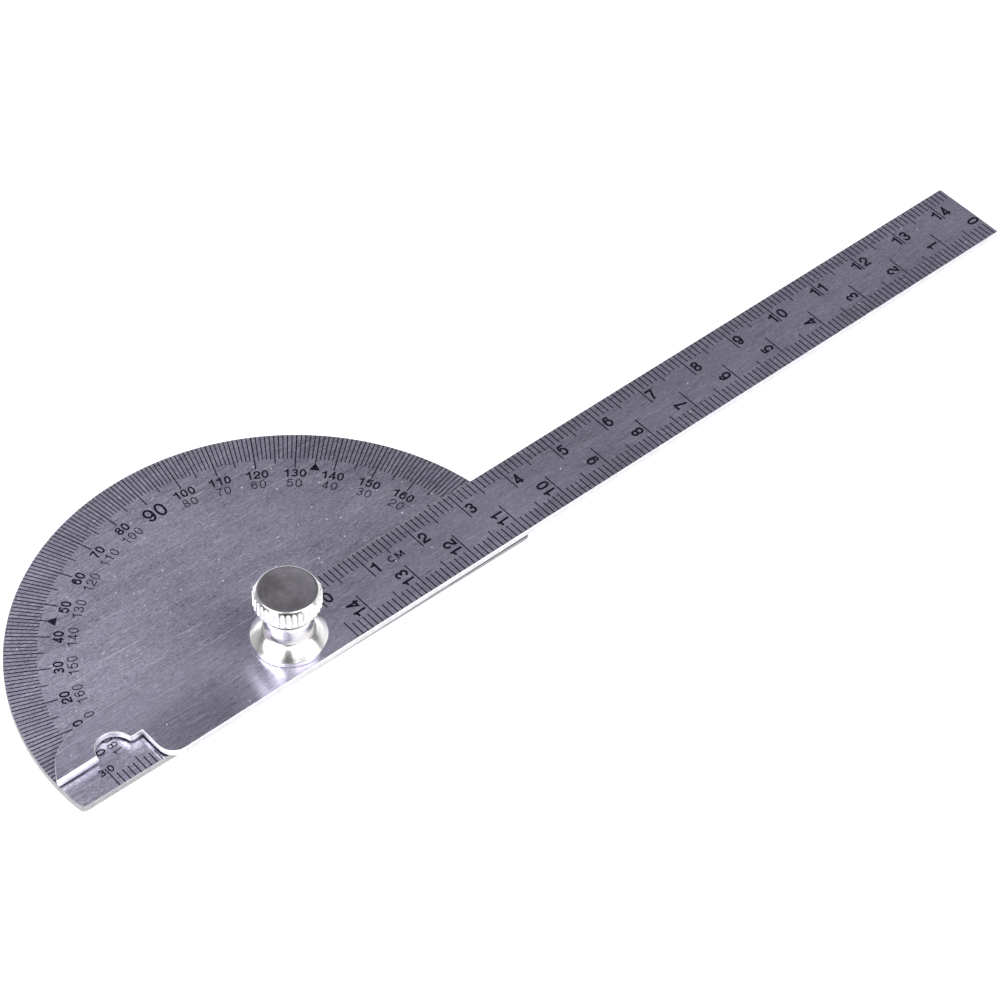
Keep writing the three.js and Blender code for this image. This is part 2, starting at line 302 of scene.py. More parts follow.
def brushed_steel(name, degrees, dark, light, rough, aniso, fine_gain=1.0, grime=0.5, finer=1.0, tail_shade=False):
    """Rolled and brushed sheet: streaks along one direction, and a highlight drawn out across it."""
    m, nt, bsdf, coords = begin(name)
    p = along_frame(nt, coords, degrees)
    fine = noise(nt, p, (1150 * finer, 5600 * finer, 900), 2.0, 0.7)
    streak = noise(nt, p, (260, 3300, 500), 3.0, 0.6)
    grain = noise(nt, along_frame(nt, coords, degrees + 5), (2700 * finer, 6100 * finer, 1500), 2.0, 0.7)
    broad = noise(nt, p, (26, 330, 80), 3.0, 0.5)
    cloud = noise(nt, p, (38, 55, 40), 3.0, 0.55)
    hair = noise(nt, along_frame(nt, coords, degrees - 2.5), (120, 5300, 400), 1.0, 0.5)
    scratch = fit(nt, hair, 0.662, 0.727, 0.0, 1.0)
    fleck = fit(nt, noise(nt, along_frame(nt, coords, degrees + 3), (900, 4600, 1500), 1.0, 0.5), 0.62, 0.70, 0.0, 1.0)
    tone = math_(nt, "ADD", math_(nt, "MULTIPLY", fine, 0.46 * fine_gain),
                 math_(nt, "ADD", math_(nt, "MULTIPLY", streak, 0.20 * fine_gain),
                       math_(nt, "ADD", math_(nt, "MULTIPLY", broad, 0.12), math_(nt, "MULTIPLY", cloud, 0.13))))
    tone = math_(nt, "ADD", tone, math_(nt, "MULTIPLY", grain, 0.46 * fine_gain))
    mid = 0.5 * (1.12 * fine_gain + 0.25)
    t = fit(nt, tone, mid - 0.145, mid + 0.145, 0.0, 1.0)
    color = blend_color(nt, t, rgba(*dark), rgba(*light))
    color = blend_color(nt, math_(nt, "MULTIPLY", math_(nt, "MAXIMUM", scratch, math_(nt, "MULTIPLY", fleck, 0.8 * fine_gain)), 0.55),
                        color, rgba(*[min(1, c * 1.5) for c in light]))
    if tail_shade:      # painted shade: the lower half of the rule's tail is darkened
        x, y, _ = nd(nt, "ShaderNodeSeparateXYZ", {0: coords}).outputs
        # painted shade: this mask pulls the colour of the tail's lower half towards near-black
        wear_and_shade = math_(nt, "MULTIPLY", fit(nt, x, -0.0165, -0.0105, 1.0, 0.0, True), fit(nt, y, -0.0035, 0.0035, 1.0, 0.0, True))
        color = blend_color(nt, math_(nt, "MULTIPLY", wear_and_shade, 0.27), color, rgba(0.02, 0.02, 0.03))
    # a little of what settles on a bench tool: dust, and small dark pits
    dust = specks(nt, p, 0.0021, 0.00019, 0.15 * grime, True)
    pit = specks(nt, nd(nt, "ShaderNodeVectorMath", {0: p, 1: (0.31, 0.17, 0.0)}, operation="ADD").outputs[0],
                 0.0015, 0.00017, 0.12 * grime, True)
    color = blend_color(nt, math_(nt, "MULTIPLY", pit, 0.5), color, rgba(*[c * 0.30 for c in dark]))
    color = blend_color(nt, math_(nt, "MULTIPLY", dust, 0.85), color, rgba(0.70, 0.70, 0.73))
    nt.links.new(color, bsdf.inputs["Base Color"])
    nt.links.new(math_(nt, "SUBTRACT", 1.0, math_(nt, "MULTIPLY", dust, 0.9)), bsdf.inputs["Metallic"])
    bsdf.inputs["Anisotropic"].default_value = aniso
    r = fit(nt, math_(nt, "ADD", math_(nt, "MULTIPLY", streak, 0.6), math_(nt, "MULTIPLY", cloud, 0.4)),
            0.3, 0.7, rough - 0.045, rough + 0.045)
    r = math_(nt, "ADD", r, math_(nt, "MULTIPLY", dust, 0.25))
    nt.links.new(r, bsdf.inputs["Roughness"])
    across = (-math.sin(math.radians(degrees)), math.cos(math.radians(degrees)), 0.0)
    tangent = nd(nt, "ShaderNodeVectorTransform", {0: across}, vector_type="VECTOR",
                 convert_from="OBJECT", convert_to="WORLD").outputs[0]
    nt.links.new(tangent, bsdf.inputs["Tangent"])
    height = math_(nt, "ADD", math_(nt, "MULTIPLY", fine, 0.5), math_(nt, "MULTIPLY", grain, 0.5))
    height = math_(nt, "ADD", height, math_(nt, "MULTIPLY", dust, 0.5))
    bump = nd(nt, "ShaderNodeBump", {"Strength": 0.30, "Distance": 0.00003, "Height": height})
    nt.links.new(bump.outputs[0], bsdf.inputs["Normal"])
    return m


def cut_edge(name, dark, light, rough, shade_under_rule=False):
    """Sheared and deburred edge: short marks straight up the wall, and, when asked, a painted shade strip on the wall's
    upper part under the rule's overhang.
    """
    m, nt, bsdf, coords = begin(name)
    marks = noise(nt, coords, (2600, 2600, 260), 3.0, 0.6)
    broad = noise(nt, coords, (420, 420, 90), 2.0, 0.5)
    t = fit(nt, math_(nt, "ADD", math_(nt, "MULTIPLY", marks, 0.6), math_(nt, "MULTIPLY", broad, 0.4)), 0.3, 0.7, 0.0, 1.0)
    color = blend_color(nt, t, rgba(*dark), rgba(*light))
    if shade_under_rule:
        # painted shade: the front wall is darkened from a line that rises to the right up to its top, where the rule
        # overhangs it
        x, y, z = nd(nt, "ShaderNodeSeparateXYZ", {0: coords}).outputs
        lower = math_(nt, "ADD", fit(nt, x, 0.012, 0.044, 0.00032, 0.00062), math_(nt, "MULTIPLY", broad, 0.00008))
        gap_shade = fit(nt, math_(nt, "SUBTRACT", z, lower), 0.0, 0.00010, 0.0, 1.0, True)
        gap_shade = math_(nt, "MULTIPLY", gap_shade, fit(nt, x, 0.001, 0.012, 0.0, 1.0, True))
        gap_shade = math_(nt, "MULTIPLY", gap_shade, fit(nt, y, -0.0057, -0.0054, 1.0, 0.0, True))
        color = blend_color(nt, math_(nt, "MULTIPLY", gap_shade, fit(nt, marks, 0.3, 0.6, 0.80, 1.0)), color, rgba(0.045, 0.043, 0.052))
    nt.links.new(color, bsdf.inputs["Base Color"])
    bsdf.inputs["Metallic"].default_value = 1.0
    nt.links.new(fit(nt, broad, 0.3, 0.7, rough - 0.06, rough + 0.06), bsdf.inputs["Roughness"])
    bump = nd(nt, "ShaderNodeBump", {"Strength": 0.18, "Distance": 0.00002, "Height": marks})
    nt.links.new(bump.outputs[0], bsdf.inputs["Normal"])
    return m


def etched_ink(name):
    """Blackened etching: matt, a little uneven where the brushed metal shows through."""
    m, nt, bsdf, coords = begin(name)
    wear_and_shade = noise(nt, coords, (2400, 2400, 500), 3.0, 0.65)
    patch = noise(nt, coords, (240, 240, 200), 2.0, 0.5)
    t = fit(nt, math_(nt, "ADD", math_(nt, "MULTIPLY", wear_and_shade, 0.7), math_(nt, "MULTIPLY", patch, 0.3)), 0.35, 0.72, 0.0, 1.0)
    nt.links.new(blend_color(nt, t, rgba(0.0030, 0.0025, 0.0060), rgba(0.011, 0.010, 0.018)), bsdf.inputs["Base Color"])
    nt.links.new(fit(nt, wear_and_shade, 0.3, 0.7, 0.42, 0.62), bsdf.inputs["Roughness"])
    bsdf.inputs["Specular IOR Level"].default_value = 0.03
    bump = nd(nt, "ShaderNodeBump", {"Strength": 0.25, "Distance": 0.00001, "Height": wear_and_shade})
    nt.links.new(bump.outputs[0], bsdf.inputs["Normal"])
    return m


def turned_nickel(name, dark, light, rough, rings, aniso=0.0, faces_up=False, ring_gain=0.2):
    """Bright plate over turned brass: faint tool rings, thin stains and tiny pits."""
    m, nt, bsdf, coords = begin(name)
    flat = nd(nt, "ShaderNodeVectorMath", {0: coords, 1: (1.0, 1.0, 0.0)}, operation="MULTIPLY").outputs[0]
    radius = nd(nt, "ShaderNodeVectorMath", {0: flat}, operation="LENGTH").outputs["Value"]
    z = nd(nt, "ShaderNodeSeparateXYZ", {0: coords}).outputs[2]
    waver = math_(nt, "MULTIPLY", noise(nt, coords, 240, 2.0), 0.00005)
    line = math_(nt, "ADD", radius if faces_up else z, waver)
    fine = nd(nt, "ShaderNodeTexNoise", {"W": math_(nt, "MULTIPLY", line, rings), "Scale": 1.0, "Detail": 3.0,
                                         "Roughness": 0.65}, noise_dimensions="1D").outputs[0]
    wide = nd(nt, "ShaderNodeTexNoise", {"W": math_(nt, "MULTIPLY", line, rings * 0.16), "Scale": 1.0, "Detail": 2.0,
                                         "Roughness": 0.5}, noise_dimensions="1D").outputs[0]
    cloud = noise(nt, coords, 330, 4.0, 0.6)
    stain = noise(nt, coords, (900, 900, 900), 3.0, 0.6)
    t = fit(nt, math_(nt, "ADD", math_(nt, "MULTIPLY", cloud, 0.45),
                      math_(nt, "ADD", math_(nt, "MULTIPLY", fine, 0.3), math_(nt, "MULTIPLY", wide, 0.25))), 0.32, 0.66, 0.0, 1.0)
    color = blend_color(nt, t, rgba(*dark), rgba(*light))
    pit = specks(nt, coords, 0.0011, 0.00012, 0.10)
    color = blend_color(nt, math_(nt, "MULTIPLY", pit, 0.35), color, rgba(*[c * 0.4 for c in dark]))
    dust = specks(nt, nd(nt, "ShaderNodeVectorMath", {0: coords, 1: (0.2, 0.1, 0.4)}, operation="ADD").outputs[0],
                  0.0016, 0.00020, 0.20, faces_up)
    color = blend_color(nt, math_(nt, "MULTIPLY", dust, 0.6 if faces_up else 0.0), color, rgba(0.86, 0.86, 0.88))
    nt.links.new(color, bsdf.inputs["Base Color"])
    bsdf.inputs["Metallic"].default_value = 1.0
    r = fit(nt, math_(nt, "ADD", math_(nt, "MULTIPLY", cloud, 0.5), math_(nt, "MULTIPLY", stain, 0.5)), 0.3, 0.7,
            rough - 0.035, rough + 0.045)
    nt.links.new(r, bsdf.inputs["Roughness"])
    if aniso:
        bsdf.inputs["Anisotropic"].default_value = aniso
        outward = nd(nt, "ShaderNodeVectorMath", {0: flat}, operation="NORMALIZE").outputs[0]
        tangent = nd(nt, "ShaderNodeVectorTransform", {0: outward}, vector_type="VECTOR",
                     convert_from="OBJECT", convert_to="WORLD").outputs[0]
        nt.links.new(tangent, bsdf.inputs["Tangent"])
    bump = nd(nt, "ShaderNodeBump", {"Strength": ring_gain, "Distance": 0.00002,
                                     "Height": math_(nt, "ADD", math_(nt, "MULTIPLY", fine, 0.6), math_(nt, "MULTIPLY", wide, 0.6))})
    nt.links.new(bump.outputs[0], bsdf.inputs["Normal"])
    return m


DIAL_FACE = brushed_steel("dial_face", 0.0, (0.235, 0.226, 0.294), (0.700, 0.676, 0.850), 0.30, 0.88, grime=1.0)
RULE_FACE = brushed_steel("rule_face", ARM_DEG, (0.285, 0.274, 0.356), (0.610, 0.587, 0.740), 0.30, 0.88, fine_gain=0.95, grime=0.38, tail_shade=True)
DIAL_EDGE = cut_edge("dial_cut_edge", (0.31, 0.305, 0.32), (0.47, 0.465, 0.48), 0.42, shade_under_rule=True)
RULE_EDGE = cut_edge("rule_cut_edge", (0.59, 0.58, 0.61), (0.77, 0.76, 0.79), 0.40)
# painted light: a lighter copy of the rule's cut edge, used on the arch's and the notch's walls
NOTCH_EDGE_PAINTED_LIGHT = cut_edge("rule_notch_edge_painted_light", (0.80, 0.79, 0.80), (0.96, 0.95, 0.96), 0.48)
INK = etched_ink("black_etching")
NUT_SIDE = turned_nickel("nut_side", (0.60, 0.59, 0.59), (0.80, 0.79, 0.79), 0.14, 5200)
NUT_TOP = turned_nickel("nut_top", (0.30, 0.29, 0.31), (0.58, 0.56, 0.60), 0.20, 6500, aniso=0.75, faces_up=True, ring_gain=0.3)
FLANGE = turned_nickel("flange_nickel", (0.70, 0.685, 0.69), (0.86, 0.85, 0.85), 0.17, 5200)
SCREW = turned_nickel("screw_zinc", (0.42, 0.41, 0.42), (0.60, 0.59, 0.60), 0.30, 4200, faces_up=True)
SPRING = brushed_steel("spring_washer", 20.0, (0.26, 0.25, 0.27), (0.40, 0.39, 0.41), 0.42, 0.3)

# ---- dial plate ----------------------------------------------------------------------------------


def dial_outline():
    r, cy = 1.0, BASE_Y + 1.0
    cx = math.sqrt((DIAL_R - r) ** 2 - (cy - DIAL_Y) ** 2)
    meet = math.atan2(cy - DIAL_Y, cx)
    pts = []
    steps = 420
    for i in range(steps + 1):
        a = meet + (math.pi - 2 * meet) * i / steps
        pts.append((DIAL_X + DIAL_R * math.cos(a), DIAL_Y + DIAL_R * math.sin(a)))
    for i in range(1, 11):
        a = math.pi - meet + (math.pi / 2 + meet) * i / 10
        pts.append((DIAL_X - cx + r * math.cos(a), cy + r * math.sin(a)))
    for i in range(10):
        a = -math.pi / 2 + (math.pi / 2 + meet) * i / 10
        pts.append((DIAL_X + cx + r * math.cos(a), cy + r * math.sin(a)))
    return pts


def circle(r, n, clockwise=False, cx=0.0, cy=0.0):
    pts = [(cx + r * math.cos(TAU * i / n), cy + r * math.sin(TAU * i / n)) for i in range(n)]
    return pts[::-1] if clockwise else pts


def modified(obj, kind, **props):
    """Applies one modifier to a mesh object and keeps the result as its own mesh."""
    mod = obj.modifiers.new("m", kind)
    for k, v in props.items():
        setattr(mod, k, v)
    graph = bpy.context.evaluated_depsgraph_get()
    mesh = bpy.data.meshes.new_from_object(obj.evaluated_get(graph))
    obj.modifiers.remove(mod)
    old = obj.data
    obj.data = mesh
    bpy.data.meshes.remove(old)
    return obj


def cutter(verts, faces):
    mesh = bpy.data.meshes.new("cutter")
    mesh.from_pydata([(x * MM, y * MM, z * MM) for x, y, z in verts], [], faces)
    obj = bpy.data.objects.new("cutter", mesh)
    bpy.context.scene.collection.objects.link(obj)
    return obj


verts, faces, walls = plate(dial_outline(), [circle(2.53, 96, True)], 0.0, DIAL_T, 0.1)
dial = shown("dial_sheet", verts, faces, "dial", [DIAL_FACE, DIAL_EDGE], indices=walls, replaces=["dial_plate"])
sink = cutter(*lathe([(0, -1), (4.23, -1), (4.23, 0.12), (2.54, 1.0), (0, 1.0)], 96))
modified(dial, "BOOLEAN", operation="DIFFERENCE", solver="EXACT", object=sink)
bpy.data.objects.remove(sink)
crisp(dial)

# ---- rule ----------------------------------------------------------------------------------------

TAIL = [(-30.4, 7.2), (-33.2, 7.15), (-35.1, 7.02), (-36.6, 6.84), (-38.0, 6.5), (-39.5, 5.97), (-40.9, 5.2),
        (-42.1, 4.2), (-43.05, 3.03), (-44.0, 1.49), (-44.42, 0.74), (-44.7, 0.0)]


def through(points, steps):
    """A smooth curve through the points."""
    out = []
    for i in range(len(points) - 1):
        p0, p1, p2 = points[max(i - 1, 0)], points[i], points[i + 1]
        p3 = points[min(i + 2, len(points) - 1)]
        for j in range(steps):
            t = j / steps
            q = []
            for k in (0, 1):
                v0, v1 = (p2[k] - p0[k]) / 2, (p3[k] - p1[k]) / 2
                q.append((2 * p1[k] - 2 * p2[k] + v0 + v1) * t ** 3
                         + (-3 * p1[k] + 3 * p2[k] - 2 * v0 - v1) * t ** 2 + v0 * t + p1[k])
            out.append(tuple(q))
    out.append(points[-1])
    return out


def rule_outline():
    w, top, tip = ARM_LOW, ARM_UP, 0.25
    arch_u, arch_r, f, notch, nf = -34.05, 3.0, 0.7, -28.7, 3.0
    pts = [(notch + nf, -w)]
    for i in range(4):
        a = -math.pi / 2 + math.pi / 2 * i / 3
        pts.append((ARM_TIP - tip + tip * math.cos(a), -w + tip + tip * math.sin(a)))
    for i in range(4):
        a = math.pi / 2 * i / 3
        pts.append((ARM_TIP - tip + tip * math.cos(a), top - tip + tip * math.sin(a)))
    pts += through(TAIL, 8)
    pts.append((arch_u - arch_r, 0.0))
    fu = math.sqrt((arch_r + f) ** 2 - f ** 2)
    touch = math.asin(f / (arch_r + f))
    for i in range(1, 49):
        a = math.pi - (math.pi - touch) * i / 48
        pts.append((arch_u + arch_r * math.cos(a), arch_r * math.sin(a)))
    for i in range(1, 11):
        a = math.pi + touch + (math.pi / 2 - touch) * i / 10
        pts.append((arch_u + fu + f * math.cos(a), f + f * math.sin(a)))
    pts.append((notch, 0.0))
    for i in range(20):
        a = math.pi + math.pi / 2 * i / 20
        pts.append((notch + nf + nf * math.cos(a), -w + nf + nf * math.sin(a)))
    return pts


verts, faces, walls = plate(rule_outline(), [circle(2.6, 96, True)], ARM_Z, ARM_Z + ARM_T, 0.10)
for i, face in enumerate(faces):        # the arch and the notch are punched; their walls get a lighter copy of the edge material, which is painted light
    u, v = (sum(verts[k][q] for k in face) / len(face) for q in (0, 1))
    if walls[i] and -37.3 < u < -25.72 and v < 3.3:
        walls[i] = 2
rule = shown("rule_strip", turned_arm(verts), faces, "arm", [RULE_FACE, RULE_EDGE, NOTCH_EDGE_PAINTED_LIGHT], indices=walls,
             replaces=["rule_arm"])
c, a0, a1 = 0.45, -46.2, -37.05
wedge = [(-0.2, ARM_TOP + 0.2), (-0.2, ARM_TOP - c - 0.2), (c + 0.2, ARM_TOP + 0.2)]
bar = cutter(turned_arm([(a0, v, z) for v, z in wedge] + [(a1, v, z) for v, z in wedge]),
             [(0, 2, 1), (3, 4, 5), (0, 1, 4, 3), (1, 2, 5, 4), (2, 0, 3, 5)])
modified(rule, "BOOLEAN", operation="DIFFERENCE", solver="EXACT", object=bar)
bpy.data.objects.remove(bar)
crisp(rule)

# ---- graduations and figures ---------------------------------------------------------------------


def arc(cx, cy, rx, ry, a0, a1, n=14, power=2.0):
    out = []
    for i in range(n + 1):
        a = math.radians(a0 + (a1 - a0) * i / n)
        c, s = math.cos(a), math.sin(a)
        out.append((cx + rx * math.copysign(abs(c) ** (2 / power), c), cy + ry * math.copysign(abs(s) ** (2 / power), s)))
    return out


def curve(p0, p1, p2, p3, n=10):
    out = []
    for i in range(n + 1):
        t = i / n
        out.append(tuple((1 - t) ** 3 * p0[k] + 3 * t * (1 - t) ** 2 * p1[k] + 3 * t * t * (1 - t) * p2[k] + t ** 3 * p3[k]
                         for k in (0, 1)))
    return out


def ribbon(path, w):
    """A stroke of width w along a path, with square ends."""
    left, right = [], []
    n = len(path)
    for i in range(n):
        a, b, c = path[max(i - 1, 0)], path[i], path[min(i + 1, n - 1)]
        dirs = []
        for p, q in ((a, b), (b, c)):
            d = math.dist(p, q)
            if d > 1e-9:
                dirs.append((-(q[1] - p[1]) / d, (q[0] - p[0]) / d))
        nx, ny = sum(d[0] for d in dirs), sum(d[1] for d in dirs)
        k = (nx * nx + ny * ny) / len(dirs)
        left.append((b[0] + nx / k * w / 2, b[1] + ny / k * w / 2))
        right.append((b[0] - nx / k * w / 2, b[1] - ny / k * w / 2))
    return left + right[::-1]


def box2(x0, y0, x1, y1):
    return [(x0, y0), (x1, y0), (x1, y1), (x0, y1)]


def ring(cx, cy, rx, ry, w, power=2.0):
    return [ribbon(arc(cx, cy, rx, ry, -6, 186, 20, power), w), ribbon(arc(cx, cy, rx, ry, 174, 366, 20, power), w)]


def figure(ch, W, H, w):
    """Outline pieces of one character in a W x H box, drawn with strokes of width w."""
    h = w / 2
    left, right, low, high = h, W - h, h, H - h
    cx, cy = W / 2, H / 2
    rx, ry = (right - left) / 2, (high - low) / 2
    if ch == "0":
        return ring(cx, cy, rx, ry, w, 2.25)
    if ch == "1":
        x = W * 0.665
        return [box2(x - h * 1.02, 0, x + h * 1.02, H),
                [(x + h, H), (x - h * 0.5, H), (x - h * 1.3, H * 0.865), (W * 0.08, H * 0.80), (W * 0.08, H * 0.80 - w * 0.78), (x - h * 0.9, H * 0.80 - w * 0.78)]]
    if ch == "2":
        r1 = H * 0.28
        bowl = arc(cx, high - r1, rx, r1, 192, -22, 18)
        end = bowl[-1]
        tail = curve(end, (end[0] - 0.10 * W, end[1] - 0.16 * H), (left + 0.10 * W, low + 0.30 * H), (left + 0.02 * W, low + 0.0 * H), 10)
        return [ribbon(bowl, w), ribbon([bowl[-2]] + tail, w), box2(0, 0, W, w)]
    if ch == "3":
        mid = H * 0.525
        return [ribbon(arc(cx - 0.01 * W, (high + mid) / 2, rx * 0.93, (high - mid) / 2, 172, -92, 20), w),
                ribbon(arc(cx - 0.01 * W, (mid + low) / 2, rx, (mid - low) / 2, 92, -172, 20), w),
                box2(cx - 0.14 * W, mid - h, cx + 0.05 * W, mid + h)]
    if ch == "4":
        x, y = W * 0.70, H * 0.24
        return [box2(x - h, 0, x + h, H), box2(0, y - h, W, y + h), ribbon([(h * 0.95, y), (x, H - h * 0.9)], w * 0.92)]
    if ch == "5":
        r1 = H * 0.30
        return [box2(W * 0.16, H - w, W * 0.95, H), ribbon([(W * 0.24, H - h), (left + 0.03 * W, H * 0.46)], w * 0.95),
                ribbon(arc(cx - 0.01 * W, low + r1, rx, r1, 140, -168, 24), w)]
    if ch in "69":
        r1 = H * 0.305 - h * 0.3
        shapes = ring(cx, low + r1, rx, r1, w) + [ribbon(arc(cx, cy, rx, ry, 190, 33, 20, 2.2), w)]
        if ch == "9":
            shapes = [[(W - x, H - y) for x, y in s] for s in shapes]
        return shapes
    if ch == "7":
        return [box2(0, H - w, W, H), ribbon(curve((right, H - w * 0.6), (W * 0.62, H * 0.58), (W * 0.40, H * 0.30), (W * 0.36, 0), 10), w)]
    if ch == "8":
        mid = H * 0.535
        return ring(cx, (high + mid) / 2, rx * 0.90, (high - mid) / 2, w) + ring(cx, (mid + low) / 2, rx, (mid - low) / 2, w)
    if ch == "C":
        return [ribbon(arc(cx, cy, rx, ry, 42, 318, 26, 2.1), w)]
    if ch == "M":
        return [box2(0, 0, w, H), box2(W - w, 0, W, H),
                ribbon([(h, H - h * 0.6), (cx, h * 0.8)], w * 0.95), ribbon([(W - h, H - h * 0.6), (cx, h * 0.8)], w * 0.95)]
    raise ValueError(ch)


def joined(shapes):
    """The union of several outlines, as points and triangles that face up."""
    pts, polys = [], []
    for s in shapes:
        area = sum(s[i - 1][0] * s[i][1] - s[i][0] * s[i - 1][1] for i in range(len(s)))
        if area < 0:
            s = s[::-1]
        polys.append(list(range(len(pts), len(pts) + len(s))))
        pts += [Vector(p) for p in s]
    out = delaunay_2d_cdt(pts, [], polys, 0, 1e-5)
    v, f, of = out[0], out[2], out[5]
    tris = []
    for face, owners in zip(f, of):
        if owners:
            a, b, c = (v[i] for i in face[:3])
            if (b - a).cross(c - a) < 0:
                face = face[::-1]
            tris.append(tuple(face))
    used = sorted({i for t in tris for i in t})
    at = {o: n for n, o in enumerate(used)}
    return [(v[i].x, v[i].y) for i in used], [tuple(at[i] for i in t) for t in tris]


class Marks:
    """Thin closed slabs of etching, gathered into one mesh. z0 lies just inside the sheet."""

    def __init__(self, z0, z1, warp=None):
        self.verts, self.faces = [], []
        self.z0, self.z1 = z0, z1
        self.warp = warp or (lambda x, y: (x, y))

    def slab(self, pts, tris):
        base, n = len(self.verts), len(pts)
        flat = [self.warp(x, y) for x, y in pts]
        self.verts += [(x, y, self.z0) for x, y in flat] + [(x, y, self.z1) for x, y in flat]
        count = {}
        for t in tris:
            for i in range(len(t)):
                count[(t[i], t[(i + 1) % len(t)])] = 1
            self.faces.append(tuple(base + n + i for i in t))
            self.faces.append(tuple(base + i for i in reversed(t)))
        for (i, k) in count:
            if (k, i) not in count:
                self.faces.append((base + i, base + k, base + n + k, base + n + i))

    def line(self, a, b, w):
        d = math.dist(a, b)
        nx, ny = -(b[1] - a[1]) / d * w / 2, (b[0] - a[0]) / d * w / 2
        self.slab([(a[0] - nx, a[1] - ny), (b[0] - nx, b[1] - ny), (b[0] + nx, b[1] + ny), (a[0] + nx, a[1] + ny)], [(0, 1, 2, 3)])

    def text(self, ch, at, up, W, H, w):
        """One character centred at a point, with its top towards the angle up, in degrees."""
        pts, tris = joined(figure(ch, W, H, w))
        a = math.radians(up - 90)
        c, s = math.cos(a), math.sin(a)
        pts = [((x - W / 2) * c - (y - H / 2) * s + at[0], (x - W / 2) * s + (y - H / 2) * c + at[1]) for x, y in pts]
        self.slab(pts, tris)

    def done(self, name, body, slot):
        obj = shown(name, self.verts, self.faces, body, [INK])
        return obj


def polar(deg, r):
    """A point of the dial: 0 degrees at the left, clockwise over the top."""
    a = math.radians(deg)
    return (-r * math.cos(a), r * math.sin(a))


INK_IN, INK_OUT = 0.01, 0.012
on_dial = lambda x, y: (x + SCALE_X, y + SCALE_Y)

# degree scale: 1, 5 and 10 degree lines from the rim inwards
ticks = Marks(DIAL_T - INK_IN, DIAL_T + INK_OUT, on_dial)


def rim(deg):
    """Distance from the scale's centre to the plate's rim, less its broken edge."""
    ux, uy = polar(deg, 1.0)
    cx, cy = DIAL_X - SCALE_X, DIAL_Y - SCALE_Y
    along = ux * cx + uy * cy
    return along + math.sqrt((DIAL_R - 0.10) ** 2 - cx * cx - cy * cy + along * along)


for deg in range(181):
    inner = 36.99 if deg % 10 == 0 else 37.95 if deg % 5 == 0 else 39.02
    width = 0.215 if deg % 10 == 0 else 0.20 if deg % 5 == 0 else 0.18
    ticks.line(polar(deg, inner), polar(deg, rim(deg)), width)
for deg in (45, 135):
    ticks.slab([polar(deg, 38.18), polar(deg + 1.43, 36.56), polar(deg - 1.43, 36.56)], [(0, 1, 2)])
# millimetre scale along the base edge, 30 at the left to 0 below the pivot, and again on the right
for side in (-1, 1):
    for mm in range(31):
        x = side * (7.12 + mm)
        top = -2.98 if mm % 10 == 0 else -3.93 if mm % 5 == 0 else -4.74
        ticks.line((x, BASE_Y - SCALE_Y + 0.10), (x, top), 0.20)
ticks.done("dial_lines", "dial", "dial_steel")

figs = Marks(DIAL_T - INK_IN, DIAL_T + INK_OUT, on_dial)


def around(text, deg, r, pitch, W, H, w):
    """A figure on the arc, centred on its line and read clockwise, tops outwards."""
    n = len(text)
    for i, ch in enumerate(text):
        off = (i - (n - 1) / 2) * pitch
        d = deg + math.degrees(off / r)
        figs.text(ch, polar(d, r), 180 - d, W, H, w)


for tens in range(0, 181, 10):
    if tens == 90:
        around("90", 90, 34.83, 2.18, 1.78, 2.86, 0.41)
        continue
    around(str(tens), tens, 35.80, 1.33, 1.12, 1.72, 0.30)
    around(str(180 - tens), tens, 33.55, 1.41, 1.03, 1.68, 0.175)
for side in (-1, 1):
    for label in (0, 10, 20, 30):
        x = side * (7.12 + label)
        text = str(label)
        if len(text) == 1:
            figs.text(text, (x + 0.75, -3.45), 90, 0.95, 1.34, 0.25)
        else:
            figs.text(text[0], (x - 0.84, -3.45), 90, 0.98, 1.34, 0.25)
            figs.text(text[1], (x + 0.76, -3.45), 90, 0.95, 1.34, 0.25)
figs.done("dial_figures", "dial", "dial_steel")


# rule: centimetres from the pivot side along the upper edge, and from the tip along the lower edge.
# The etching sits 0.15 mm low on the strip and is turned 0.09 degrees on it.
LEAN = math.tan(math.radians(0.09))


def on_rule(s, v):
    u = s + 8.504
    return turned_arm([(u, v - 0.15 + u * LEAN)])[0]


def to_edge(s, side):
    """Where a line at s ends, just inside the strip's upper (1) or lower (-1) rounded edge."""
    edge = ARM_UP - 0.10 if side > 0 else -(ARM_LOW - 0.10)
    return edge + 0.15 - (s + 8.504) * LEAN


lines = Marks(ARM_TOP - INK_IN, ARM_TOP + INK_OUT, on_rule)
for mm in range(145):
    inner = 1.15 if mm % 10 == 0 else 3.56 if mm % 5 == 0 else 4.51
    lines.line((mm, inner), (mm, to_edge(mm, 1)), 0.21)
for mm in range(146):
    s = 145.0 - mm
    if s > 144.7:
        continue
    inner = 0.15 if mm % 10 == 0 else -2.93 if mm % 5 == 0 else -3.95
    lines.line((s, to_edge(s, -1)), (s, inner), 0.21)
lines.done("rule_lines", "arm", "rule_steel")

